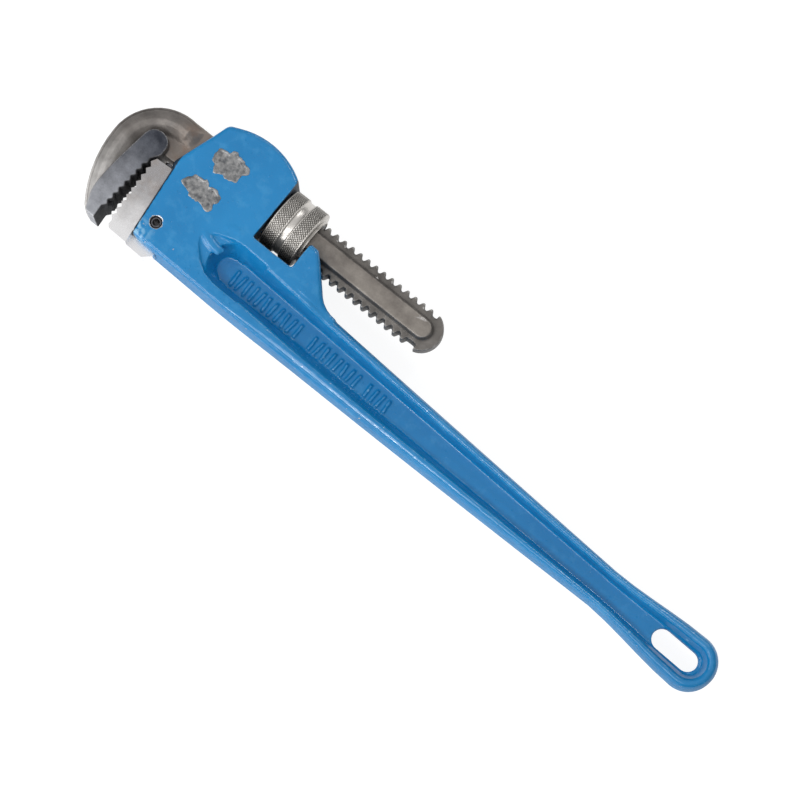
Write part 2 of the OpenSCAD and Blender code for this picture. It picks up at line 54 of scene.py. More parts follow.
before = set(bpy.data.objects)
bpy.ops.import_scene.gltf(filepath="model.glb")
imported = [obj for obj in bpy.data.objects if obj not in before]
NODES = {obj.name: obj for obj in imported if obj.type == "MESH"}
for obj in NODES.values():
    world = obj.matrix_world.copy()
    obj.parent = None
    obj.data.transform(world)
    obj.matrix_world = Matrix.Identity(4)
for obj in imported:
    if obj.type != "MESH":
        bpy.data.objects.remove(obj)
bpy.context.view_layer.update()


def on_handle(x, y, z=0.0):
    """A point of the handle's own axes, in the part's frame."""
    return Vector(((x + ORIGIN[0]) * MM, (y + ORIGIN[1]) * MM, (z + ORIGIN[2]) * MM))


def on_shank(s, t, z=0.0):
    """A point of the shank's axes: s along it from the nut's face, t towards the back."""
    c, n = math.cos(LEAN), math.sin(LEAN)
    return on_handle(s * c - t * n, SHANK_Y + s * n + t * c, z)


# ---- colour and nodes ----------------------------------------------------------------

# What a mix of two colours needs: its factor goes in socket 0 and its colours in 6 and 7.
COLOURS = {"out": 2, "data_type": "RGBA"}


def srgb(code):
    """A hex colour as linear light."""
    parts = [int(code[i:i + 2], 16) / 255 for i in (0, 2, 4)]
    return (*[c / 12.92 if c <= 0.04045 else ((c + 0.055) / 1.055) ** 2.4 for c in parts], 1.0)


def add(tree, kind, inputs=(), out=0, **settings):
    """Adds a node and returns one output; inputs are values or other nodes' outputs, in order or by key."""
    node = tree.nodes.new("ShaderNode" + kind)
    for key, value in settings.items():
        setattr(node, key, value)
    for key, value in inputs.items() if isinstance(inputs, dict) else enumerate(inputs):
        if isinstance(value, bpy.types.NodeSocket):
            tree.links.new(value, node.inputs[key])
        else:
            node.inputs[key].default_value = value
    return node.outputs[out] if node.outputs else None


def new_material(name):
    """An empty material, its nodes, and the object's own coordinates in mm."""
    mat = bpy.data.materials.new(name)
    mat.use_nodes = True
    tree = mat.node_tree
    tree.nodes.clear()
    metres = add(tree, "TexCoord", out="Object")
    return mat, tree, add(tree, "VectorMath", (metres, (1000, 1000, 1000)), operation="MULTIPLY")


# ---- finishes ------------------------------------------------------------------------


def blue_enamel():
    """Alkyd enamel sprayed on rough cast iron: a glossy blue skin that shows the casting's waves, with small nibs in
    the paint and bare metal round the pin's drilled hole and in chips along the machined seat."""
    mat, tree, mm = new_material("blue_enamel_on_cast_iron")
    x = add(tree, "SeparateXYZ", (mm,), "X")
    y = add(tree, "SeparateXYZ", (mm,), "Y")
    z = add(tree, "SeparateXYZ", (mm,), "Z")

    # Waves of the casting 9 mm long, orange peel of 2.4 mm, nibs of 1.1 mm and clouds of tone
    cast = add(tree, "TexNoise", {"Vector": mm, "Scale": 1 / 9, "Detail": 1.0, "Roughness": 0.55})
    peel = add(tree, "TexNoise", {"Vector": mm, "Scale": 1 / 2.4, "Detail": 1.0, "Roughness": 0.4})
    cloud = add(tree, "TexNoise", {"Vector": mm, "Scale": 1 / 45, "Detail": 3.0, "Roughness": 0.55})
    place = add(tree, "Mapping", {"Vector": mm, "Location": (44, 44, 44)})
    nibs = add(tree, "TexNoise", {"Vector": place, "Scale": 1 / 1.1, "Detail": 1.0, "Roughness": 0.55})
    nibs = add(tree, "MapRange", (nibs, 0.68, 0.78))
    place = add(tree, "Mapping", {"Vector": mm, "Location": (366, 366, 366)})
    mottle = add(tree, "TexNoise", {"Vector": place, "Scale": 1 / 6, "Detail": 5.0, "Roughness": 0.62})
    mottle = add(tree, "MapRange", (mottle, 0.5, 0.72, 0.0, 0.3))
    place = add(tree, "Mapping", {"Vector": mm, "Location": (64.4, 64.4, 64.4)})
    chip = add(tree, "TexNoise", {"Vector": place, "Scale": 1 / 2.8, "Detail": 3.0, "Roughness": 0.6})

    # Paint paler along the casting's edges and crests: partly thin paint where they are rubbed, partly a painted
    # highlight
    rubbed_edge_sheen = add(tree, "MapRange", (add(tree, "NewGeometry", out="Pointiness"), 0.515, 0.59, 0.0, 0.5))
    rubbed_edge_sheen = add(tree, "Math", (rubbed_edge_sheen, add(tree, "MapRange", (peel, 0.35, 0.6))), operation="MULTIPLY")
    cloud = add(tree, "MapRange", (cloud, 0.3, 0.7))
    paint = add(tree, "Mix", {0: cloud, 6: srgb("0a74ae"), 7: srgb("1681bd")}, **COLOURS)
    paint = add(tree, "Mix", {0: mottle, 6: paint, 7: srgb("4c9ccd")}, **COLOURS)
    paint = add(tree, "Mix", {0: rubbed_edge_sheen, 6: paint, 7: srgb("9ccfea")}, **COLOURS)

    # Bare ring where the pin's hole was drilled through the paint
    hole = on_handle(*PIN) / MM
    level = add(tree, "VectorMath", (mm, (1, 1, 0)), operation="MULTIPLY")
    ring = add(tree, "VectorMath", (level, (hole.x, hole.y, 0)), "Value", operation="DISTANCE")
    ring = add(tree, "Math", (ring, add(tree, "MapRange", (peel, 0.2, 0.8, -0.5, 0.5))), operation="ADD")
    ring = add(tree, "MapRange", (ring, HOLE_RING[0], HOLE_RING[1], 1.0, 0.0))

    # Chips along the heel jaw's seat, near the housing's low corner, and a pale blue patch there that is partly thin
    # paint and partly a painted highlight
    slope = math.tan(math.radians(SEAT[2]))
    foot = on_handle(SEAT[0], SEAT[1]) / MM
    depth = add(tree, "VectorMath", (mm, (1, slope, 0)), "Value", operation="DOT_PRODUCT")
    depth = add(tree, "Math", (depth, foot.x + slope * foot.y), operation="SUBTRACT")
    low_edge = add(tree, "MapRange", (y, on_handle(0, -8).y / MM, on_handle(0, -14).y / MM))
    chips = add(tree, "Math", (add(tree, "MapRange", (depth, 7.0, 2.0)), low_edge), operation="MULTIPLY")
    chips = add(tree, "Math", (chips, 0.17, chip), operation="MULTIPLY_ADD")
    chips = add(tree, "Math", (add(tree, "MapRange", (chips, 0.71, 0.735)), low_edge), operation="MULTIPLY")
    bare = add(tree, "Math", (ring, chips), operation="MAXIMUM")
    # Pale patch by the low corner: partly thin paint, partly a painted highlight
    thin = add(tree, "Math", (add(tree, "MapRange", (depth, 12.0, 1.0, 0.0, 0.6)), low_edge), operation="MULTIPLY")
    thin = add(tree, "Math", (thin, add(tree, "MapRange", (peel, 0.42, 0.62))), operation="MULTIPLY")
    paint = add(tree, "Mix", {0: thin, 6: paint, 7: srgb("a6d6ec")}, **COLOURS)

    # Painted shade: near-black along the seam at the heel jaw's seat and on the walls of the nut's window, where the
    # gap and the window lie in shade
    ragged = add(tree, "MapRange", (peel, 0.2, 0.8, -0.25, 0.25))
    seam_shade = add(tree, "Math", (depth, ragged), operation="ADD")
    seam_shade = add(tree, "MapRange", (seam_shade, 0.9, 1.3, 1.0, 0.0))
    deep = add(tree, "Math", (add(tree, "Math", (z, CHEEK), operation="SUBTRACT"),), operation="ABSOLUTE")
    window_shade = add(tree, "MapRange", (deep, 16.6, 16.2))
    for along, zero, edge, inside in ((x, ORIGIN[0], -1.6, -1.2), (x, ORIGIN[0], 25.2, 25.0),
                                      (y, ORIGIN[1], 18.0, 18.2)):
        within = add(tree, "MapRange", (along, zero + edge, zero + inside))
        window_shade = add(tree, "Math", (window_shade, within), operation="MULTIPLY")
    painted_shade = add(tree, "Math", (seam_shade, window_shade), operation="MAXIMUM")
    painted_shade = add(tree, "Math", (painted_shade, 0.93), operation="MULTIPLY")
    paint = add(tree, "Mix", {0: painted_shade, 6: paint, 7: srgb("15181c")}, **COLOURS)

    # Duller on the flanks, which the hand rubs
    facing = add(tree, "SeparateXYZ", (add(tree, "NewGeometry", out="Normal"),), "Z")
    facing = add(tree, "Math", (facing,), operation="ABSOLUTE")
    flank = add(tree, "MapRange", (facing, 0.15, 0.5, 0.4, 0.0))
    rough = add(tree, "Math", (add(tree, "MapRange", (peel, 0.2, 0.8, 0.15, 0.23)), flank), operation="ADD")
    skin = add(tree, "Bump", {"Height": cast, "Distance": 0.24 * MM})
    skin = add(tree, "Bump", {"Height": peel, "Distance": 0.035 * MM, "Normal": skin})
    skin = add(tree, "Bump", {"Height": nibs, "Distance": 0.12 * MM, "Normal": skin})
    enamel = add(tree, "BsdfPrincipled", {"Base Color": paint, "IOR": 1.5, "Normal": skin, "Roughness": rough})
    steel = add(tree, "BsdfPrincipled", {
        "Base Color": srgb("b9bcc0"), "Metallic": 1.0, "Normal": skin,
        "Roughness": add(tree, "MapRange", (peel, 0.2, 0.8, 0.28, 0.5))})
    add(tree, "OutputMaterial", {"Surface": add(tree, "MixShader", (bare, enamel, steel))})
    return mat


def plain_steel(name, dark, light, edge, rough, grain, mottle=8.0, stretch=(1, 1, 1), metallic=1.0, pits=0.0):
    """Steel of a spring, the pin or a ground pad: its tone drifts over a grain, and its edges are rubbed."""
    mat, tree, mm = new_material(name)
    broad = add(tree, "TexNoise", {"Vector": mm, "Scale": 1 / mottle, "Detail": 4.0, "Roughness": 0.6})
    spread = tuple(k / grain for k in stretch)
    place = add(tree, "Mapping", {"Vector": mm, "Location": (11, 11, 11), "Scale": spread})
    fine = add(tree, "TexNoise", {"Vector": place, "Scale": 1.0, "Detail": 2.0, "Roughness": 0.6})
    cloud = add(tree, "MapRange", (broad, 0.3, 0.7))
    tone = add(tree, "Mix", {0: cloud, 6: srgb(dark), 7: srgb(light)}, **COLOURS)
    specks = add(tree, "MapRange", (fine, 0.3, 0.7, 0.0, 0.25))
    tone = add(tree, "Mix", {0: specks, 6: tone, 7: srgb(dark)}, **COLOURS)
    rub = add(tree, "MapRange", (add(tree, "NewGeometry", out="Pointiness"), 0.53, 0.6))
    rub = add(tree, "Math", (rub, add(tree, "MapRange", (broad, 0.2, 0.6, 0.2, 0.5))), operation="MULTIPLY")
    tone = add(tree, "Mix", {0: rub, 6: tone, 7: srgb(edge)}, **COLOURS)
    skin = add(tree, "Bump", {"Height": fine, "Distance": 0.04 * MM})
    if pits:
        place = add(tree, "Mapping", {"Vector": mm, "Location": (29.9, 29.9, 29.9)})
        pitting = add(tree, "TexNoise", {"Vector": place, "Scale": 1 / 1.3, "Detail": 3.0, "Roughness": 0.7})
        pitting = add(tree, "MapRange", (pitting, 0.62, 0.75))
        skin = add(tree, "Bump", {"Height": pitting, "Distance": -pits * MM, "Normal": skin})
        dirt = add(tree, "Math", (pitting, 0.5), operation="MULTIPLY")
        tone = add(tree, "Mix", {0: dirt, 6: tone, 7: srgb("2b2825")}, **COLOURS)
    steel = add(tree, "BsdfPrincipled", {
        "Base Color": tone, "Metallic": metallic, "Normal": skin,
        "Roughness": add(tree, "MapRange", (fine, 0.25, 0.75, rough - 0.07, rough + 0.08))})
    add(tree, "OutputMaterial", {"Surface": steel})
    return mat


def forged_hook():
    """Drop-forged alloy steel, shot-blasted and oiled: grey-brown scale on the rim, rust tint by the neck, a ground
    block behind the teeth and a darker shank, with painted light towards the nose and near-black painted shade on the
    tooth faces."""
    mat, tree, mm = new_material("shot_blasted_forged_steel")
    share = {name: add(tree, "Attribute", out="Fac", attribute_name=name) for name in HOOK_SHARES}
    pointed = add(tree, "NewGeometry", out="Pointiness")
    blast = add(tree, "TexNoise", {"Vector": mm, "Scale": 1 / 0.8, "Detail": 3.0, "Roughness": 0.65})
    scale = add(tree, "TexNoise", {"Vector": mm, "Scale": 1 / 9, "Detail": 5.0, "Roughness": 0.6})
    patch = add(tree, "MapRange", (scale, 0.3, 0.7))
    place = add(tree, "Mapping", {"Vector": mm, "Location": (42, 42, 42)})
    rust = add(tree, "TexNoise", {"Vector": place, "Scale": 1 / 6, "Detail": 4.0, "Roughness": 0.65})
    rust = add(tree, "MapRange", (rust, 0.45, 0.65, 0.0, 0.35))
    rust = add(tree, "Math", (rust, share["neck"]), operation="MULTIPLY")

    # Tones of the rim and neck, the ground block, and the shank with its raised plateau
    rim = add(tree, "Mix", {0: patch, 6: srgb("676360"), 7: srgb("8b8682")}, **COLOURS)
    neck = add(tree, "Math", (share["neck"], 0.8), operation="MULTIPLY")
    rim = add(tree, "Mix", {0: neck, 6: rim, 7: srgb("897f77")}, **COLOURS)
    rim = add(tree, "Mix", {0: rust, 6: rim, 7: srgb("83644f")}, **COLOURS)
    cloud = add(tree, "MapRange", (scale, 0.35, 0.65))
    ground = add(tree, "Mix", {0: cloud, 6: srgb("34373f"), 7: srgb("5b5e66")}, **COLOURS)
    shank = add(tree, "Mix", {0: patch, 6: srgb("5d5a57"), 7: srgb("7f7b77")}, **COLOURS)
    plateau = add(tree, "Mix", {0: patch, 6: srgb("746e69"), 7: srgb("98928b")}, **COLOURS)
    shank = add(tree, "Mix", {0: share["plateau"], 6: shank, 7: plateau}, **COLOURS)

    # Painted light: brighter towards the nose, on the rim and less so on the ground block, where the light falls;
    # then put together by the mesh's shares
    painted_front_light = add(tree, "MapRange", (scale, 0.25, 0.7, 0.5, 1.0))
    painted_front_light = add(tree, "Math", (share["painted_front_light"], painted_front_light), operation="MULTIPLY")
    rim = add(tree, "Mix", {0: painted_front_light, 6: rim, 7: srgb("e9e7e5")}, **COLOURS)
    less = add(tree, "Math", (painted_front_light, 0.7), operation="MULTIPLY")
    ground = add(tree, "Mix", {0: less, 6: ground, 7: srgb("d2d4da")}, **COLOURS)
    tone = add(tree, "Mix", {0: share["ground_block"], 6: rim, 7: ground}, **COLOURS)
    tone = add(tree, "Mix", {0: share["shank"], 6: tone, 7: shank}, **COLOURS)

    # Edges lighter, partly rubbed and partly a painted highlight; dark valleys; and near-black painted shade on the
    # tooth faces, where the gap between the jaws lies in shade
    rubbed_edge_sheen = add(tree, "MapRange", (pointed, 0.515, 0.58, 0.0, 0.8))
    rubbed_edge_sheen = add(tree, "Math", (rubbed_edge_sheen, add(tree, "MapRange", (blast, 0.3, 0.6))), operation="MULTIPLY")
    tone = add(tree, "Mix", {0: rubbed_edge_sheen, 6: tone, 7: srgb("e6e4e2")}, **COLOURS)
    valleys = add(tree, "MapRange", (pointed, 0.495, 0.455, 0.0, 0.8))
    tone = add(tree, "Mix", {0: valleys, 6: tone, 7: srgb("232120")}, **COLOURS)
    gap_shade = add(tree, "Math", (share["tooth_face"], 0.95), operation="MULTIPLY")
    tone = add(tree, "Mix", {0: gap_shade, 6: tone, 7: srgb("0e0f14")}, **COLOURS)
    skin = add(tree, "Bump", {"Height": blast, "Distance": 0.1 * MM})
    skin = add(tree, "Bump", {"Height": scale, "Distance": 0.2 * MM, "Normal": skin})
    rough = add(tree, "MapRange", (blast, 0.25, 0.75, 0.48, 0.64))
    steel = add(tree, "BsdfPrincipled", {
        "Base Color": tone, "Normal": skin,
        "Metallic": add(tree, "MapRange", (share["tooth_face"], 0.0, 1.0, 0.85, 0.0)),
        "Roughness": add(tree, "Math", (share["tooth_face"], 0.36, rough), operation="MULTIPLY_ADD")})
    add(tree, "OutputMaterial", {"Surface": steel})
    return mat


def knurled_zinc():
    """Zinc-plated steel: soft grey, its knurl's ridges rubbed bright and its valleys darkened with grime and painted
    shade.
    """
    mat, tree, mm = new_material("zinc_plated_knurled_steel")
    knurl_valley_shade = add(tree, "Attribute", out="Fac", attribute_name="knurl_valley_shade")
    tip = add(tree, "Attribute", out="Fac", attribute_name="tip")
    groove = add(tree, "Attribute", out="Fac", attribute_name="groove")
    cloud = add(tree, "TexNoise", {"Vector": mm, "Scale": 1 / 6, "Detail": 4.0, "Roughness": 0.6})
    spread = (2.5 / 0.35, 0.3 / 0.35, 0.3 / 0.35)
    place = add(tree, "Mapping", {"Vector": mm, "Location": (11, 11, 11), "Scale": spread})
    turned = add(tree, "TexNoise", {"Vector": place, "Scale": 1.0, "Detail": 2.0, "Roughness": 0.6})
    cloud = add(tree, "MapRange", (cloud, 0.3, 0.7))
    tone = add(tree, "Mix", {0: cloud, 6: srgb("bcb8b2"), 7: srgb("e0dcd7")}, **COLOURS)
    tone = add(tree, "Mix", {0: groove, 6: tone, 7: srgb("d2cec9")}, **COLOURS)
    # Painted shade in the knurl's valleys, with grime
    painted_shade = add(tree, "Math", (knurl_valley_shade, 0.9), operation="MULTIPLY")
    tone = add(tree, "Mix", {0: painted_shade, 6: tone, 7: srgb("403e3b")}, **COLOURS)
    bright = add(tree, "Math", (tip, 0.8), operation="MULTIPLY")
    tone = add(tree, "Mix", {0: bright, 6: tone, 7: srgb("f6f4f1")}, **COLOURS)
    rough = add(tree, "MapRange", (turned, 0.25, 0.75, 0.38, 0.52))
    steel = add(tree, "BsdfPrincipled", {
        "Base Color": tone, "Metallic": 0.9,
        "Normal": add(tree, "Bump", {"Height": turned, "Distance": 0.03 * MM}),
        "Roughness": add(tree, "Math", (groove, -0.12, rough), operation="MULTIPLY_ADD")})
    add(tree, "OutputMaterial", {"Surface": steel})
    return mat


def milled_heel():
    """Milled tool steel, grey with heat and oil near the neck, with painted light that makes it nearly white towards
    its foot, and the cutter's grain across the teeth."""
    mat, tree, mm = new_material("milled_tool_steel")
    y = add(tree, "SeparateXYZ", (mm,), "Y")
    cloud = add(tree, "TexNoise", {"Vector": mm, "Scale": 1 / 11, "Detail": 4.0, "Roughness": 0.6})
    place = add(tree, "Mapping", {"Vector": mm, "Location": (11, 11, 11), "Scale": (6, 0.8, 2)})
    cut = add(tree, "TexNoise", {"Vector": place, "Scale": 1.0, "Detail": 2.0, "Roughness": 0.6})
    place = add(tree, "Mapping", {"Vector": mm, "Location": (136, 136, 136)})
    tint = add(tree, "TexNoise", {"Vector": place, "Scale": 1 / 8, "Detail": 4.0, "Roughness": 0.65})
    tint = add(tree, "MapRange", (tint, 0.45, 0.68, 0.0, 0.5))
    tone = add(tree, "Mix", {0: tint, 6: srgb("a3a0a1"), 7: srgb("8d7866")}, **COLOURS)
    # Painted light: lighter and nearly white towards the foot, where the light falls
    painted_front_light = add(tree, "Math", (y, add(tree, "MapRange", (cloud, 0.3, 0.7, -8, 8))), operation="ADD")
    painted_front_light = add(tree, "MapRange", (painted_front_light, on_handle(0, 8).y / MM, on_handle(0, -20).y / MM))
    tone = add(tree, "Mix", {0: painted_front_light, 6: tone, 7: srgb("fdfcfd")}, **COLOURS)
    grain = add(tree, "MapRange", (cut, 0.3, 0.7, 0.0, 0.2))
    tone = add(tree, "Mix", {0: grain, 6: tone, 7: srgb("8f8c8f")}, **COLOURS)
    # Edges a little whiter: partly rubbed, partly a painted highlight
    rubbed_edge_sheen = add(tree, "MapRange", (add(tree, "NewGeometry", out="Pointiness"), 0.53, 0.6, 0.0, 0.1))
    tone = add(tree, "Mix", {0: rubbed_edge_sheen, 6: tone, 7: srgb("ffffff")}, **COLOURS)
    steel = add(tree, "BsdfPrincipled", {
        "Base Color": tone, "Metallic": 0.95,
        "Normal": add(tree, "Bump", {"Height": cut, "Distance": 0.03 * MM}),
        "Roughness": add(tree, "MapRange", (cut, 0.25, 0.75, 0.2, 0.3))})
    add(tree, "OutputMaterial", {"Surface": steel})
    return mat


ENAMEL = blue_enamel()
FORGED = forged_hook()
HEEL = milled_heel()
NUT = knurled_zinc()
# Bare tops of the cast pads, ground flat after painting
GROUND = plain_steel("ground_cast_iron", "54575b", "aeadac", "eef2f4", rough=0.4, grain=0.35, mottle=2.6,
                     stretch=(0.25, 2, 1), metallic=0.7, pits=0.2)
# Spring pin and leaf: blackened spring steel
PIN_STEEL = plain_steel("blackened_spring_steel", "1d1c20", "34343a", "8b8b90", rough=0.45, grain=0.4)
# Coil, rivet and inner leaf: hard-drawn spring steel, blue-grey
SPRING = plain_steel("hard_drawn_spring_steel", "6b6d72", "8f9196", "c8c6c2", rough=0.33, grain=0.3, mottle=4)


# ---- mesh helpers --------------------------------------------------------------------


def piece(name, mesh, material, body, replaces=()):
    """Puts a finished mesh in the scene, on its body and in its finish's slot."""
    obj = bpy.data.objects.new(name, mesh)
    bpy.context.scene.collection.objects.link(obj)
    mesh.materials.append(material)
    for poly in mesh.polygons:
        poly.use_smooth = True
    if replaces:
        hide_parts(*replaces)
    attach(obj, body)
    return obj


def lofted(bm, rings, closed=False):
    """Skin of quads over rings with equal counts of points, capped at both ends unless it is closed."""
    rows = [[bm.verts.new(p) for p in ring] for ring in rings]
    n, m = len(rows), len(rows[0])
    for i in range(n if closed else n - 1):
        a, b = rows[i], rows[(i + 1) % n]
        for j in range(m):
            k = (j + 1) % m
            bm.faces.new((a[j], b[j], b[k], a[k]))
    if not closed:
        bm.faces.new(rows[0])
        bm.faces.new(rows[-1][::-1])


def finished(bm, name):
    """The built shape as a mesh with its faces turned outwards."""
    bmesh.ops.recalc_face_normals(bm, faces=bm.faces)
    mesh = bpy.data.meshes.new(name)
    bm.to_mesh(mesh)
    bm.free()
    return mesh


def carry(mesh, shares):
    """Gives the mesh its named shares, one value for each point."""
    for name, values in shares.items():
        mesh.attributes.new(name, "FLOAT", "POINT").data.foreach_set("value", values)


def rise(value, start, over):
    """Goes from 0 at start to 1 further on, and stays there."""
    return min(max((value - start) / over, 0), 1)


def through_modifiers(mesh, name, steps):
    """A mesh after a row of modifiers, each given as (kind, settings)."""
    obj = bpy.data.objects.new(name, mesh)
    bpy.context.scene.collection.objects.link(obj)
    for kind, settings in steps:
        mod = obj.modifiers.new(kind.lower(), kind)
        for key, value in settings.items():
            setattr(mod, key, value)
    bpy.context.view_layer.update()
    done = bpy.data.meshes.new_from_object(obj.evaluated_get(bpy.context.evaluated_depsgraph_get()))
    bpy.data.objects.remove(obj)
    done.name = name
    return done


def cast_form(bm, name, voxel, passes, keep):
    """Solids that overlap, run together into one skin whose corners are rounded like a casting's."""
    mesh = finished(bm, name + "_rough")
    return through_modifiers(mesh, name, [
        ("REMESH", {"mode": "VOXEL", "voxel_size": voxel * MM, "use_smooth_shade": True}),
        ("SMOOTH", {"factor": 0.5, "iterations": passes}),
        ("DECIMATE", {"decimate_type": "COLLAPSE", "ratio": keep})])


def raised_patch(bm, outline, base, top, shrink):
    """A low boss on a face: the outline at its base and a smaller one at its top."""
    mid = sum((Vector(p) for p in outline), Vector((0, 0))) / len(outline)
    low = [Vector((p[0], p[1], base)) for p in outline]
    high = [Vector((*(mid + (Vector(p) - mid) * shrink), top)) for p in outline]
    lofted(bm, [low, high])


# ---- handle --------------------------------------------------------------------------

# Plain pads cast on each cheek: x, y, half length, half width, turn and corner squareness.
PADS = [(-31.6, 37.6, 9.4, 6.8, 0.12, 2.2), (-33.4, 18.6, 10.0, 5.4, -0.05, 3.6)]
BAR_GROUPS = [(5.5, 11), (56.0, 8), (92.0, 4)]      # raised bars on the web: first x and how many
BAR_STEP = 4.1
PROUD = 0.3                         # how far cast marks stand out of the cheek, in mm


def pad_outline(cx, cy, long, short, turn, square):
    """Outline of a plain pad in mm, an oval whose corners fill out as square rises above 2."""
    c, s = math.cos(turn), math.sin(turn)
    out = []
    for i in range(72):
        a = 2 * math.pi * i / 72
        r = (abs(math.cos(a) / long) ** square + abs(math.sin(a) / short) ** square) ** (-1 / square)
        r *= 1 + 0.1 * math.sin(5 * a + cx) + 0.07 * math.sin(8 * a + cy) + 0.03 * math.sin(17 * a)
        u, v = r * math.cos(a), r * math.sin(a)
        out.append((cx + u * c - v * s, cy + u * s + v * c))
    return out


def web_bars(bm, side):
    """Upright raised bars on one side of the web, in three groups, each bar a little out of true."""
    for first, count in BAR_GROUPS:
        for i in range(count):
            x = first + BAR_STEP * i
            lean = 0.5 * math.sin(2.3 * i + first)
            low, high = -7.4 + 0.012 * x, 3.6 - 0.004 * x
            bar = [(x - 0.9 - lean, low), (x + 0.9 - lean, low + 0.2),
                   (x + 0.9 + lean, high), (x - 0.9 + lean, high - 0.2)]
            points = [on_handle(*p) for p in bar]
            raised_patch(bm, [(p.x, p.y) for p in points], (CHEEK + side * (WEB - 0.8)) * MM,
                         (CHEEK + side * (WEB + 1.2)) * MM, 0.7)


# Closed end of the hollow, where it runs out into the cheek: its edge, and the web's rounded end beside it.
RUNOUT = [(-4.5, -11.6), (-6.6, -11.2), (-13.4, -6.6), (-18.0, -0.8), (-20.0, 3.2), (-10.8, 11.0), (-5.0, 13.2)]
WEB_NOSE = (1.5, -0.4)
NOSE_FOOT, NOSE_TOP = 7.2, 11.8     # radii round the web's end where the ramp starts and ends


def hollow_runout(bm, side):
    """The hollow's closed end, shallow at its tip and falling to the web round the web's own end."""
    rings = []
    for nose_r, low in ((NOSE_FOOT, True), (NOSE_TOP, False)):
        ring = list(RUNOUT)
        for k in range(11):
            a = math.radians(112 + 13.6 * k)
            ring.append((WEB_NOSE[0] + nose_r * math.cos(a), WEB_NOSE[1] + nose_r * math.sin(a)))
        rings.append([on_handle(x, y, side * (WEB - 0.6 if low else CHEEK - 0.5 - 0.15 * (x + 19)))
                      for x, y in ring])
    lofted(bm, rings)


# Low swells round the closed end of the hollow: points of their middle line, then half width and height.
SWELLS = [([(-22.6, 5.6), (-19.0, 4.3), (-15.0, 2.9), (-11.0, 2.1), (-8.0, 2.2), (-6.2, 4.2)], 2.7, 1.4),
          ([(-15.5, 11.6), (-12.0, 13.6), (-8.5, 15.2), (-5.0, 16.2), (-1.5, 16.6)], 2.6, 0.8)]


def hollow_swell(bm, surface, side, path, wide, high):
    """Low swell left by the mould beside the hollow, thin at both its ends."""
    rings = []
    for i, (x, y) in enumerate(path):
        hit = surface.ray_cast(on_handle(x, y, side * 3 * CHEEK), Vector((0, 0, -side)))[0]
        highest = on_handle(x, y, side * (CHEEK + PROUD)).z - side * high * MM
        hit.z = min(hit.z, highest) if side > 0 else max(hit.z, highest)
        before, after = path[max(i - 1, 0)], path[min(i + 1, len(path) - 1)]
        run = Vector((after[0] - before[0], after[1] - before[1], 0)).normalized()
        across = Vector((-run.y, run.x, 0))
        swell = 0.35 if i in (0, len(path) - 1) else 1
        rings.append([hit + across * wide * swell * MM * math.cos(a) + Vector((0, 0, high * swell * MM * math.sin(a)))
                      for a in (2 * math.pi * k / 12 for k in range(12))])
    lofted(bm, rings)


def cast_handle():
    """Handle and housing in one casting, with plain raised bars along each side of the web."""
    bm = bmesh.new()
    bm.from_mesh(NODES["handle"].data)
    for side in (1, -1):
        hollow_runout(bm, side)
    surface = BVHTree.FromBMesh(bm)
    for side in (1, -1):
        for swell in SWELLS:
            hollow_swell(bm, surface, side, *swell)
        web_bars(bm, side)
    voxel = 0.5
    return cast_form(bm, "cast_handle", voxel, 6, 0.5)


def ground_pad(pad, side):
    """Plain pad cast on a cheek, its top ground bare and a shallow step inside its rim."""
    cx, cy = pad[:2]
    bm = bmesh.new()
    shape = pad_outline(*pad)
    walls = [(1.0, -1.0), (1.0, 0.0), (0.985, 0.7), (0.95, 1.0), (0.87, 1.0), (0.84, 0.7), (0.8, 0.4), (0.3, 0.4)]
    rings = [[on_handle(cx + (p[0] - cx) * k, cy + (p[1] - cy) * k, side * (CHEEK + h * PROUD)) for p in shape]
             for k, h in walls]
    lofted(bm, rings)
    return finished(bm, "pad")


piece("cast_handle", cast_handle(), ENAMEL, "handle", ["handle"])
for label, side in (("upper", 1), ("lower", -1)):
    for index, pad in enumerate(PADS):
        piece(f"ground_pad_{label}_{index + 1}", ground_pad(pad, side), GROUND, "handle")


# ---- hook jaw ------------------------------------------------------------------------


def hook_forging():
    """Hook and shank in one forging, with shares of the mesh marked for its finishes."""
    bm = bmesh.new()
    bm.from_mesh(NODES["hook_jaw"].data)
    voxel = 0.42
    mesh = cast_form(bm, "hook_forging", voxel, 3, 0.45)
    back = on_shank(0, 0)
    c, n = math.cos(LEAN), math.sin(LEAN)
    rolled = bmesh.new()
    rolled.from_mesh(mesh)
    threaded = [v for v in rolled.verts if (v.co - back).dot(Vector((c, n, 0))) > 3 * MM]
    for _ in range(4):
        bmesh.ops.smooth_vert(rolled, verts=threaded, factor=0.5,
                              use_axis_x=True, use_axis_y=True, use_axis_z=True)
    rolled.to_mesh(mesh)
    rolled.free()
    marks = {key: [] for key in HOOK_SHARES}
    for v in mesh.vertices:
        d = (v.co - back) / MM
        s, t, z = d.x * c + d.y * n, -d.x * n + d.y * c, abs(d.z)
        faces_mouth = v.normal.x * c + v.normal.y * n
        by_teeth = rise(s, -74, 1.5) * rise(-t, 15, 2)
        marks["ground_block"].append(max(rise(z, 12.4, 0.8), by_teeth))
        # The tooth-face share carries the painted shade of the gap between the jaws
        marks["tooth_face"].append(by_teeth * rise(faces_mouth, 0.1, 0.2))
        marks["neck"].append(rise(s, -68, 12) * rise(t, -16, 6))
        # This share carries the painted light towards the nose
        marks["painted_front_light"].append(rise(-t, 14, 42))
        marks["shank"].append(rise(s, -12, 8))
        marks["plateau"].append(rise(z, 6.2, 0.6))
    carry(mesh, marks)
    return mesh


piece("hook_forging", hook_forging(), FORGED, "hook_jaw", ["hook_jaw"])


# ---- nut -----------------------------------------------------------------------------


def ridge(x):
    """Height from 0 in a groove to 1 on a ridge, for a place measured in ridges."""
    return 1 - abs(2 * (x - math.floor(x)) - 1)


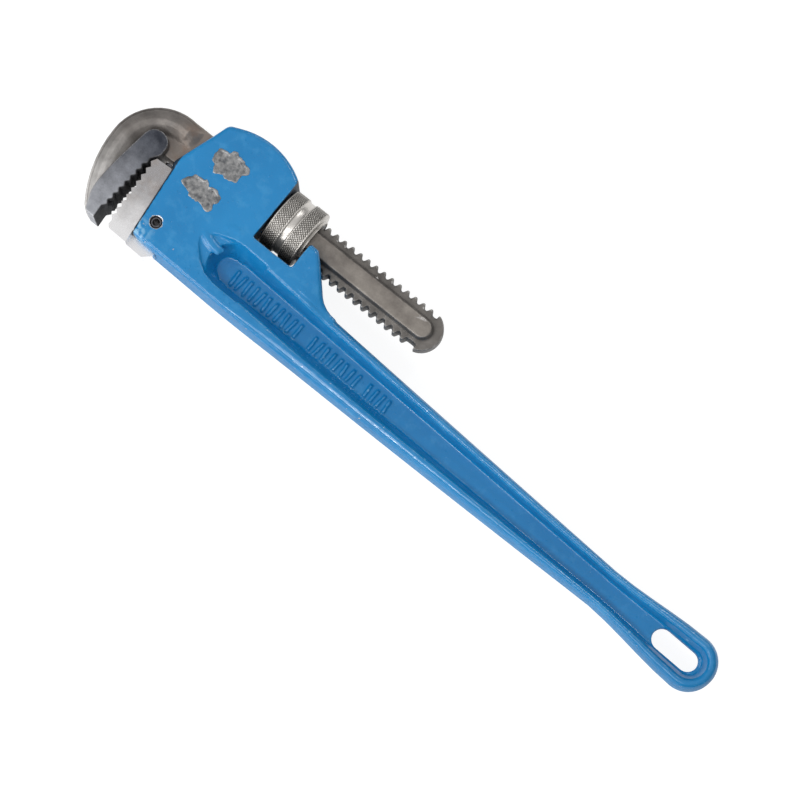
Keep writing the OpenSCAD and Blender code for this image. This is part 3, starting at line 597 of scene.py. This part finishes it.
def knurled_nut():
    """Nut turned with a chamfer at each end and a plain groove between two diamond-knurled bands."""
    body = NUT_GAP + NUT_LEN
    mid = NUT_GAP + NUT_LEN / 2
    bore = THREAD_R + 0.25
    nose_r = NUT_R - 4.2
    around = 292
    count = round(2 * math.pi * NUT_R / KNURL)
    rows = []
    first, second = (NUT_GAP + 0.35, mid - GROOVE_W / 2), (mid + GROOVE_W / 2, body - 0.35)
    rows += [(bore, NUT_GAP + 0.8), (bore + 0.8, NUT_GAP), (NUT_R - 0.9, NUT_GAP), (NUT_R - 0.6, NUT_GAP + 0.1)]
    for lo, hi in (first, second):
        steps = 24
        rows += [(NUT_R, lo + (hi - lo) * k / steps, (lo, hi)) for k in range(steps + 1)]
        if hi < mid:
            rows += [(NUT_R - 0.8, hi + 0.15), (NUT_R - 1.0, hi + 0.5), (NUT_R - 1.0, mid + GROOVE_W / 2 - 0.5),
                     (NUT_R - 0.8, mid + GROOVE_W / 2 - 0.15)]
    rows += [(NUT_R - 0.6, body - 0.1), (NUT_R - 0.9, body), (nose_r + 0.3, body), (nose_r, body + 0.2),
             (nose_r, body + NUT_NOSE - 0.2), (nose_r - 0.3, body + NUT_NOSE), (bore + 0.8, body + NUT_NOSE),
             (bore, body + NUT_NOSE - 0.8)]
    rings = []
    heights = []
    for row in rows:
        ring = []
        for j in range(around):
            a = 2 * math.pi * j / around
            r = row[0]
            if len(row) == 3:
                lo, hi = row[2]
                turn, climb = a / (2 * math.pi) * count, row[1] / KNURL * 0.9
                height = min(ridge(turn + climb), ridge(turn - climb))
                fade = min(1, (row[1] - lo) / 0.5, (hi - row[1]) / 0.5)
                r -= 0.6 * (1 - height) * fade + 0.45 * (1 - fade)
                heights.append(height if fade == 1 else 0.6)
            else:
                heights.append(0.6)
            ring.append(on_shank(row[1], r * math.cos(a), r * math.sin(a)))
        rings.append(ring)
    bm = bmesh.new()
    lofted(bm, rings, closed=True)
    mesh = finished(bm, "knurled_nut")
    grooved = [abs(row[1] - mid) < GROOVE_W / 2 - 0.1 and row[0] > NUT_R - 2 for row in rows for _ in range(around)]
    carry(mesh, {"groove": grooved,
                 # The valley share carries painted shade and grime
                 "knurl_valley_shade": [rise(-h, -0.62, 0.3) for h in heights],
                 "tip": [rise(h, 0.75, 0.2) for h in heights]})
    return mesh


def nut_screw():
    """The nut's inner thread, as one ridge wound through the bore."""
    depth = 2.2
    outer, inner = THREAD_R + 0.5, THREAD_R - depth
    wide, narrow = 1.75, 0.55
    per_turn = 48
    start, stop = NUT_GAP + 1.9, NUT_GAP + NUT_LEN + NUT_NOSE - 1.9
    turns = (stop - start) / PITCH
    n = int(turns * per_turn)
    rings = []
    for i in range(n + 1):
        s = start + PITCH * i / per_turn
        a = 2 * math.pi * (s / PITCH + 0.5)
        thin = min(1, i / 10, (n - i) / 10) * 0.92 + 0.08
        ring = [(outer, -wide * thin), (outer, wide * thin), (outer - (outer - inner) * thin, narrow * thin),
                (outer - (outer - inner) * thin, -narrow * thin)]
        rings.append([on_shank(s + q[1], q[0] * math.cos(a), q[0] * math.sin(a)) for q in ring])
    bm = bmesh.new()
    lofted(bm, rings)
    return finished(bm, "nut_screw")


piece("knurled_nut", knurled_nut(), NUT, "adjusting_nut", ["adjusting_nut"])
piece("nut_screw", nut_screw(), NUT, "adjusting_nut")


# ---- leaf spring's front end ----------------------------------------------------------

LEAF_AT = -15.4                     # height of the leaf's end above the shank's axis, in mm
LEAF_START = -45.0                  # where the leaf's end begins, along the shank
EYE_AT = -57.4                      # centre of its rolled eye, along the shank
EYE_R = 1.15
LEAF_HALF = (0.6, 7.5)              # half the leaf's thickness and half its width


def leaf_end():
    """Front end of the leaf spring, rolled into a small eye where it leaves the passage over the heel jaw; made wide
    and dark, it also stands in for the shade in the gap under the hook's neck.
    """
    half_t, half_w = LEAF_HALF
    outline = [(LEAF_START, LEAF_AT - half_t), (LEAF_START, LEAF_AT + half_t)]
    start = math.radians(80)
    for k in range(17):
        a = start + (2 * math.pi - 2 * start) * k / 16
        outline.append((EYE_AT + EYE_R * math.cos(a), LEAF_AT + EYE_R * math.sin(a)))
    bm = bmesh.new()
    lofted(bm, [[on_shank(s, t, z) for s, t in outline] for z in (-half_w, half_w)])
    return finished(bm, "leaf_end")


# The leaf's dark end also stands in for the shade in the gap between the hook's neck and the heel jaw
piece("leaf_end", leaf_end(), PIN_STEEL, "handle")


# ---- heel jaw, pin and springs --------------------------------------------------------

for key, material, rounding in (("heel_jaw", HEEL, 0.5), ("heel_jaw_pin", PIN_STEEL, 0.12),
                                ("flat_spring", SPRING, 0.12), ("spring_rivet", SPRING, 0.1),
                                ("coil_spring", SPRING, 0.0)):
    node = NODES[key]
    node.data.materials.clear()
    node.data.materials.append(material)
    if rounding:
        soft = node.modifiers.new("rounded edges", "BEVEL")
        soft.width = rounding * MM
        soft.segments = 2
        soft.limit_method = "ANGLE"
        soft.angle_limit = math.radians(32)


# ---- floor, lights and camera ---------------------------------------------------------


def paper():
    """Matt white paper that stays white to the eye and keeps a soft shadow."""
    mat, tree, _ = new_material("white_paper")
    seen = add(tree, "LightPath", out="Is Camera Ray")
    for ray in ("Is Glossy Ray", "Is Transmission Ray"):
        seen = add(tree, "Math", (seen, add(tree, "LightPath", out=ray)), operation="MAXIMUM")
    tone = add(tree, "Mix", {0: seen, 6: srgb("f4f4f4"), 7: srgb("808080")}, **COLOURS)
    matt = add(tree, "BsdfDiffuse", {"Color": tone})
    glow = add(tree, "Math", (seen, 0.9), operation="MULTIPLY")
    glow = add(tree, "Emission", {"Color": srgb("ffffff"), "Strength": glow})
    add(tree, "OutputMaterial", {"Surface": add(tree, "AddShader", (matt, glow))})
    return mat


def floor():
    """Sheet of paper 6 m wide, just under the wrench."""
    bm = bmesh.new()
    reach = 3.0
    under = -PROUD * MM
    bm.faces.new([bm.verts.new((x * reach, y * reach, under)) for x, y in ((-1, -1), (1, -1), (1, 1), (-1, 1))])
    mesh = finished(bm, "paper_floor")
    mesh.materials.append(paper())
    obj = bpy.data.objects.new("paper_floor", mesh)
    bpy.context.scene.collection.objects.link(obj)


def lamp(name, place, aim, wide, high, watts):
    """A soft box at a place, turned to a point."""
    light = bpy.data.lights.new(name, "AREA")
    light.shape = "RECTANGLE"
    light.size, light.size_y = wide, high
    light.energy = watts
    obj = bpy.data.objects.new(name, light)
    obj.location = place
    obj.rotation_mode = "QUATERNION"
    obj.rotation_quaternion = (Vector(aim) - Vector(place)).to_track_quat("-Z", "Y")
    bpy.context.scene.collection.objects.link(obj)


floor()
TURN = math.radians(40.82)          # how far the handle falls away from level in the view
RIGHT = Vector((math.cos(TURN), math.sin(TURN), 0.0))
UP = Vector((-math.sin(TURN), math.cos(TURN), 0.0))
AIM = Vector((-0.0048, -0.0113, 0.017))     # where the camera looks
TILT = math.radians(8.2)            # how far the camera leans from straight above
REACH = 1.9                         # from the camera to the wrench, in metres
LENS = 173.1375                     # focal length in mm, on film 36 mm wide
FRONT = Vector((-0.1, -1.0, 0.0)).normalized()     # out of the open front of the jaws
MOUTH = on_handle(-70, -10)                        # between the jaws

# Soft boxes and two small lamps for the glints: place, aim, width and height in m, and watts
lamp("front_softbox", AIM + FRONT * 0.78 + Vector((0, 0, 1.4)), AIM, 1.1, 0.4, 6.3)
lamp("low_softbox", AIM + FRONT * 1.2 + Vector((0, 0, 0.3)), AIM, 1.2, 0.25, 2.8)
lamp("back_strip", AIM + RIGHT * 0.7 + UP * 1.0 + Vector((0, 0, 0.8)), AIM, 1.2, 0.12, 3)
lamp("side_softbox", AIM - RIGHT * 1.1 + UP * 0.35 + Vector((0, 0, 1.1)), AIM, 0.6, 0.5, 3)
lamp("front_glint", AIM + FRONT * 0.85 + Vector((0, 0, 1.25)), AIM, 0.09, 0.09, 1.3)
lamp("back_glint", AIM - FRONT * 1.0 + Vector((0, 0, 1.0)), AIM, 0.09, 0.09, 1.3)
lamp("mouth_softbox", MOUTH - RIGHT * 0.42 - UP * 0.3 + Vector((0, 0, 0.33)), MOUTH, 0.3, 0.2, 1.0)

# A studio that is dim at the walls and bright overhead
world = bpy.data.worlds.new("studio")
bpy.context.scene.world = world
world.use_nodes = True
studio = world.node_tree
studio.nodes.clear()
height = add(studio, "SeparateXYZ", (add(studio, "TexCoord", out="Generated"),), "Z")
level = add(studio, "MapRange", (height, 0.3, 1.0, 0.12, 0.78))
add(studio, "OutputWorld", {"Surface": add(studio, "Background", {"Color": srgb("ffffff"), "Strength": level})})

lens = bpy.data.cameras.new("camera")
lens.sensor_width = 36
lens.lens = LENS
lens.clip_start = 0.05
lens.clip_end = 20
camera = bpy.data.objects.new("camera", lens)
back = Vector((0, 0, 1)) * math.cos(TILT) - UP * math.sin(TILT)
camera.location = AIM + back * REACH
camera.rotation_mode = "QUATERNION"
camera.rotation_quaternion = Matrix((RIGHT, back.cross(RIGHT), back)).transposed().to_quaternion()
bpy.context.scene.collection.objects.link(camera)
bpy.context.scene.camera = camera
bpy.context.scene.view_settings.view_transform = "Standard"
